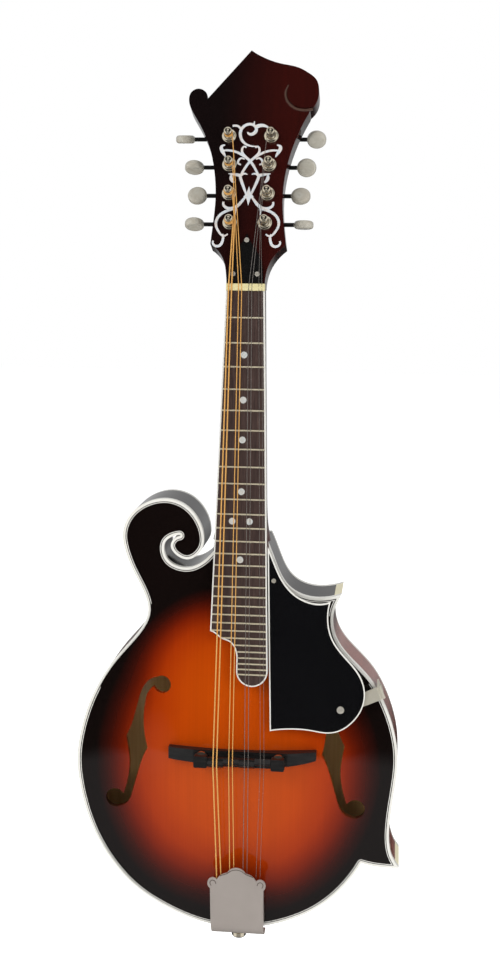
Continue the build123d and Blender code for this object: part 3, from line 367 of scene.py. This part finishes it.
def bareWood(name, light, dark):
    material = newMaterial(name, Roughness=0.6)
    grain = noise(material, (500, 60, 16), detail=4)
    rings = noise(material, (60, 20, 4), detail=2)
    colour = mixColour(material, grain, light, dark)
    colour = mixColour(material, spread(material, rings, 0.0, 0.5), colour, dark)
    return paint(material, colour, spread(material, grain, 0.5, 0.75), grain, 0.2, 0.0001)


def fretboardWood():
    material = newMaterial("rosewoodBoard", Roughness=0.5)
    pores = noise(material, (1500, 200, 55), detail=5, roughness=0.65)
    bands = noise(material, (260, 30, 7), detail=3)
    stops = [(0.3, tone(36, 23, 20)), (0.52, tone(66, 47, 41)), (0.75, tone(92, 70, 62))]
    colour = ramp(material, pores, stops)
    colour = mixColour(material, spread(material, bands, 0.0, 0.75), colour, tone(48, 32, 29))
    return paint(material, colour, spread(material, pores, 0.4, 0.62), pores, 0.25, 0.00008)


def ebony():
    material = newMaterial("ebony", Roughness=0.4)
    pores = noise(material, (90, 300, 900), detail=4)
    colour = ramp(material, pores, [(0.35, tone(13, 12, 12)), (0.7, tone(30, 27, 26))])
    return paint(material, colour, spread(material, pores, 0.3, 0.5), pores, 0.12, 0.00005)


def plainPlastic(name, colour, other, roughness, coat=0.5, size=60):
    material = newMaterial(name, Roughness=roughness, Coat_Weight=coat, Coat_Roughness=0.06)
    cloud = noise(material, (size, size, size), detail=3)
    fine = noise(material, (700, 700, 700), detail=2)
    blend = mixColour(material, cloud, colour, other)
    gloss = spread(material, fine, roughness * 0.8, roughness * 1.2)
    return paint(material, blend, gloss, fine, 0.03, 0.00003)


def shell(name, light, dark, warm, size):
    # pearl: soft bands that bend round cloudy cells
    material = newMaterial(name, Roughness=0.22, Coat_Weight=0.8, Coat_Roughness=0.05, Specular_IOR_Level=0.7)
    warp = addNode(material, "TexNoise", Vector=place(material), Scale=size, Detail=2.0)
    cells = addNode(material, "TexVoronoi", Vector=warp.outputs["Color"], Scale=7.0)
    bands = ramp(material, cells.outputs["Distance"], [(0.0, dark), (0.35, light), (0.8, warm)])
    cloud = noise(material, (size, size, size), detail=4)
    colour = mixColour(material, spread(material, cloud, 0.1, 0.9), bands, light)
    return paint(material, colour, spread(material, cloud, 0.16, 0.34))


def metal(name, colour, worn, roughness, brushing=(300, 300, 300), contrast=0.35, bump=0.05, metallic=1.0):
    material = newMaterial(name, Metallic=metallic, Roughness=roughness)
    lines = noise(material, brushing, detail=4, roughness=0.6)
    cloud = noise(material, (40, 40, 40), detail=3)
    tint = mixColour(material, spread(material, cloud, 0.0, contrast), colour, worn)
    gloss = spread(material, lines, roughness * 0.75, roughness * 1.3)
    return paint(material, tint, gloss, lines, bump, 0.00004)


def woundWire():
    # the winding is a fine ridge round each string, which runs close to the up axis
    material = newMaterial("bronzeWinding", Metallic=0.35, Roughness=0.34)
    wave = addNode(material, "TexWave", {"wave_type": "BANDS", "bands_direction": "Z"},
                   Vector=place(material), Scale=420.0, Distortion=0.0)
    ridges = wave.outputs["Fac"]
    # darker between the ridges and lighter on their crests: painted shade and highlight of the winding
    colour = mixColour(material, ridges, tone(196, 138, 66), tone(244, 192, 112))
    return paint(material, colour, None, ridges, 0.5, 0.00012)


finishes = {
    "top_plate": spruceTop(),
    "back_plate": backPlate(),
    "ribs": lacqueredMaple("lacquerRibs", tone(16, 9, 9), tone(118, 58, 46), -0.262, -0.236),
    # the curl's edge is lacquered lighter than the head: a painted highlight
    "curl": lacqueredMaple("curlHighlightLacquer", tone(96, 78, 68), tone(70, 50, 42), 0.12, 0.16, 0.6),
    "linings": bareWood("limeLinings", tone(196, 158, 108), tone(150, 112, 68)),
    "neck": lacqueredMaple("lacquerNeck", tone(24, 9, 7), tone(58, 20, 12), -0.16, 0.0, 0.3),
    "head_overlay": headFace(),
    "binding": plainPlastic("ivoryBinding", tone(220, 219, 214), tone(204, 201, 192), 0.25),
    "point_caps": plainPlastic("creamCap", tone(226, 218, 180), tone(214, 204, 166), 0.3),
    "nut": plainPlastic("boneNut", tone(206, 197, 150), tone(192, 181, 132), 0.42, 0.2, 160),
    "pickguard": plainPlastic("blackSheet", tone(7, 7, 9), tone(11, 11, 13), 0.2, 0.6, 30),
    "truss_rod_cover": plainPlastic("blackCover", tone(7, 7, 7), tone(11, 10, 10), 0.24, 0.5, 30),
    "fretboard": fretboardWood(),
    "bridge_base": ebony(),
    "head_inlay": shell("inlayPearl", tone(198, 204, 208), tone(134, 146, 158), tone(206, 186, 170), 160),
    "position_dots": shell("dotPearl", tone(186, 190, 188), tone(136, 145, 148), tone(190, 178, 164), 220),
    "frets": metal("fretWire", tone(212, 202, 176), tone(176, 164, 138), 0.3, metallic=0.4),
    "tuner_plates": metal("nickelTuner", tone(238, 228, 206), tone(208, 192, 160), 0.1, contrast=0.25,
                          bump=0.02),
    "tailpiece_cover": metal("brushedNickel", tone(184, 175, 168), tone(158, 147, 140), 0.42, (60, 60, 2400),
                             0.7, 0.12, 0.5),
    "wood_screws": metal("screwNickel", tone(206, 202, 192), tone(160, 146, 118), 0.24, metallic=0.55),
    "pickguard_bracket": metal("satinNickel", tone(206, 201, 186), tone(172, 164, 146), 0.3, (900, 60, 60),
                               0.5, 0.08, 0.5),
    # darker metal on the pressed lines: painted shade of their grooves
    "coverLine": metal("pressedLineShade", tone(116, 104, 97), tone(92, 82, 76), 0.35, contrast=0.5,
                       metallic=0.6),
    "gear": metal("gearBrass", tone(206, 164, 90), tone(150, 112, 56), 0.35),
    "truss_rod": metal("plainSteel", tone(120, 120, 122), tone(80, 76, 74), 0.45),
    "strings_wound": woundWire(),
    "strings_plain": metal("plainWire", tone(150, 144, 138), tone(116, 110, 106), 0.25, metallic=0.8),
}
sameFinish = {  # each node here wears the finish of the one beside it
    "tone_bars": "linings", "blocks": "linings", "truss_rod_nut": "truss_rod", "fretboard_binding": "binding",
    "pickguard_edge": "binding", "bridge_saddle": "bridge_base", "bridge_posts": "tuner_plates",
    "bridge_wheel_bass": "tuner_plates", "bridge_wheel_treble": "tuner_plates",
    "tailpiece_base": "tuner_plates", "strap_button": "tuner_plates", "tuner_bushings": "tuner_plates",
}


def finishFor(node):
    if node.startswith("gear_"):
        return finishes["gear"]
    if node.startswith("post_"):
        return finishes["tuner_plates"]
    return finishes[sameFinish.get(node, node)]


def dress(node, material):
    nodes[node].data.materials.clear()
    nodes[node].data.materials.append(material)


def dressNodes():
    for node in nodes:
        if not node.startswith("key_"):
            dress(node, finishFor(node))


floorPlan = dict(depth=-0.72, half=8, glow=0.45)  # metres, and how much light the floor gives itself


def buildFloor():
    mesh = bmesh.new()
    bmesh.ops.create_grid(mesh, x_segments=1, y_segments=1, size=floorPlan["half"])
    bmesh.ops.translate(mesh, vec=(0, 0, floorPlan["depth"]), verts=mesh.verts)
    data = bpy.data.meshes.new("floor")
    mesh.to_mesh(data)
    mesh.free()
    floor = bpy.data.objects.new("floor", data)
    bpy.context.scene.collection.objects.link(floor)
    material = newMaterial("paleFloor", Roughness=0.8)
    cloud = noise(material, (3, 3, 3), detail=2)
    pale = mixColour(material, cloud, tone(252, 252, 252), tone(249, 249, 249))
    paint(material, pale)
    shader = material.node_tree.nodes["Principled BSDF"]
    setInput(material, shader, "Emission Color", pale)
    setInput(material, shader, "Emission Strength", floorPlan["glow"])
    data.materials.append(material)
    floor.visible_glossy = False


buttonPlan = dict(
    light=tone(166, 162, 150),
    dark=tone(118, 115, 106),
    warm=tone(152, 143, 128),
    shaft=tone(26, 24, 24),
    reach=[0.0468, 0.0386, 0.0351, 0.0362, 0.0397, 0.0329, 0.0293, 0.0324],  # each button's start in x
)


def keyFinish(reach):
    # a pearl button on a near-black metal shaft
    material = shell("buttonPearl", buttonPlan["light"], buttonPlan["dark"], buttonPlan["warm"], 55)
    shader = material.node_tree.nodes["Principled BSDF"]
    pearl = shader.inputs["Base Color"].links[0].from_socket
    out = math2(material, "ABSOLUTE", objectAxis(material, "X"), 0.0)
    onShaft = math2(material, "LESS_THAN", out, reach)
    setInput(material, shader, "Base Color", mixColour(material, onShaft, pearl, buttonPlan["shaft"]))
    setInput(material, shader, "Metallic", onShaft)
    return material


def dressKeys():
    for number, reach in enumerate(buttonPlan["reach"], 1):
        dress(f"key_{number}", keyFinish(reach))


tunerRows = [(16.0, 119.0), (15.0, 96.0), (14.4, 73.0), (13.1, 50.0)]  # out from the middle and up the head
collarPlan = dict(  # a rounded collar round each post: radius and height above the head's face, outside first
    profile=[(4.6, 0.03), (5.5, 0.03), (5.5, 0.6), (5.3, 1.0), (4.9, 1.25), (4.35, 1.3), (4.1, 1.45),
             (3.9, 1.8), (3.55, 1.95), (3.2, 1.85), (3.06, 1.5), (3.06, -1.0)],
    steps=72,
)
capPlan = dict(  # a rounded tip on each post, from its rim to its middle
    profile=[(3.04, 9.1), (3.06, 9.55), (2.9, 9.95), (2.45, 10.25), (1.8, 10.4), (1.1, 10.38), (0.6, 10.2),
             (0.12, 10.15)],
    steps=56,
)


def turnOnHead(mesh, x, s, plan):
    # the plan's profile turned about a point of the head, and its last ring
    turns = [2 * math.pi * step / plan["steps"] for step in range(plan["steps"])]
    last = None
    for radius, height in plan["profile"]:
        spots = [headPoint(x + radius * math.cos(a), s + radius * math.sin(a), height) for a in turns]
        ring = [mesh.verts.new(spot) for spot in spots]
        if last:
            for step in range(plan["steps"]):
                after = (step + 1) % plan["steps"]
                mesh.faces.new((last[step], last[after], ring[after], ring[step]))
        last = ring
    return last


def buildCollars():
    mesh = bmesh.new()
    for out, s in tunerRows:
        for side in (-1, 1):
            turnOnHead(mesh, tunerX(side, out, s), s, collarPlan)
    piece = addPiece("tunerCollars", mesh, finishes["tuner_plates"])
    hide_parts("tuner_bushings")
    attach(piece, "body")


def buildCaps():
    number = 0
    for side in (-1, 1):
        for out, s in tunerRows:
            number += 1
            mesh = bmesh.new()
            mesh.faces.new(turnOnHead(mesh, tunerX(side, out, s), s, capPlan))
            piece = addPiece(f"postTip_{number}", mesh, finishes["tuner_plates"])
            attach(piece, f"post_{number}")


curlPlan = dict(  # the rounded edge of the curl carved under the head's large scroll, in mm; its lighter lacquer is a painted highlight where the edge catches the light
    line=[(44.5, 141.6), (38, 140.6), (31.5, 142), (26.6, 145.8), (24, 151), (24, 156), (26, 160.5)],
    start=3.0,  # the groove's width at its ends
    end=0.6,
    bulge=0.3,  # and how much wider each side is halfway
    # share of the half width, a step beyond it, and height above the head's face
    slope=[(1.0, 0.45, 0.03), (0.9, 0.1, -0.12), (0.55, 0.0, -0.5), (0.1, 0.0, -0.95), (-0.6, 0.0, -1.3)],
    steps=14,
)


def curve(points, count):
    # evenly spread points and directions along a smooth line through the given ones
    samples = []
    ends = [points[0], *points, points[-1]]
    for index in range(1, len(ends) - 2):
        a, b, c, d = [Vector(ends[index + k]) for k in (-1, 0, 1, 2)]
        bend = 2 * a - 5 * b + 4 * c - d
        twist = 3 * b - a - 3 * c + d
        for step in range(count):
            t = step / count
            at = 0.5 * (2 * b + (c - a) * t + bend * t ** 2 + twist * t ** 3)
            along = 0.5 * ((c - a) + 2 * bend * t + 3 * twist * t ** 2)
            samples.append((at, along.normalized()))
    return samples


def joinRows(mesh, rows):
    for before, after in zip(rows, rows[1:]):
        for k in range(len(before) - 1):
            mesh.faces.new((before[k], before[k + 1], after[k + 1], after[k]))


def buildCurl():
    mesh = bmesh.new()
    samples = curve(curlPlan["line"], curlPlan["steps"])
    rows = []
    for index, (at, along) in enumerate(samples):
        t = index / (len(samples) - 1)
        width = curlPlan["start"] + (curlPlan["end"] - curlPlan["start"]) * t
        half = width / 2 + curlPlan["bulge"] * 4 * t * (1 - t)
        outward = Vector((-along.y, along.x))
        row = []
        for share, extra, height in curlPlan["slope"]:
            spot = at + outward * (half * share + extra)
            row.append(mesh.verts.new(headPoint(spot.x, spot.y, height)))
        rows.append(row)
    joinRows(mesh, rows)
    piece = addPiece("headCurl", mesh, finishes["curl"])
    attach(piece, "body")


coverPlan = dict(  # raised lines pressed into the tailpiece cover, in mm; their darker metal is painted shade of the grooves
    lines=[  # x and z, seen from the front
        [(-19.3, -455.6), (-20.2, -453), (-18.6, -450.9), (-16.4, -451.6), (-15.6, -453.9)],
        [(20.1, -455.6), (21.0, -453), (19.4, -450.9), (17.2, -451.6), (16.4, -453.9)],
        [(-15.2, -449.6), (-12.4, -446.9), (-7, -444.6), (-3.4, -442.0), (0.4, -441.2), (4.2, -442.0),
         (7.8, -444.6), (13.2, -446.9), (16, -449.6)],
    ],
    width=0.7,
    rise=0.22,
    sunk=0.02,  # how far each edge lies in the cover
    front=-200,  # where the search for the cover's face starts
    sides=6,
    steps=8,
)


def coverFront(x, z):
    # where the cover's face lies under a point of the front view, in metres
    cover = nodes["tailpiece_cover"]
    inverse = cover.matrix_world.inverted()
    start = inverse @ Vector((x * mm, coverPlan["front"] * mm, z * mm))
    hit, spot, normal, face = cover.ray_cast(start, inverse.to_3x3() @ Vector((0, 1, 0)))
    return (cover.matrix_world @ spot).y if hit else None


def buildCoverLines():
    mesh = bmesh.new()
    for line in coverPlan["lines"]:
        rows = []
        for at, along in curve(line, coverPlan["steps"]):
            depth = coverFront(at.x, at.y)
            if depth is None:
                continue
            outward = Vector((-along.y, along.x))
            row = []
            for side in range(coverPlan["sides"] + 1):
                turn = math.pi * side / coverPlan["sides"]
                spot = at + outward * (coverPlan["width"] / 2 * math.cos(turn))
                height = (coverPlan["rise"] * math.sin(turn) - coverPlan["sunk"]) * mm
                row.append(mesh.verts.new((spot.x * mm, depth - height, spot.y * mm)))
            rows.append(row)
        joinRows(mesh, rows)
    piece = addPiece("coverLines", mesh, finishes["coverLine"])
    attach(piece, "tail_cover")


def addPiece(name, mesh, material):
    for face in mesh.faces:
        face.smooth = True
    data = bpy.data.meshes.new(name)
    mesh.to_mesh(data)
    mesh.free()
    piece = bpy.data.objects.new(name, data)
    piece.data.materials.append(material)
    bpy.context.scene.collection.objects.link(piece)
    return piece


buildCamera()
buildWorld()
buildLights()
buildFloor()
print("studio ready")
dressNodes()
dressKeys()
print("frame dressed")
buildCollars()
buildCaps()
buildCurl()
buildCoverLines()
print("collars, post tips, curl and cover lines built")

bpy.context.view_layer.update()
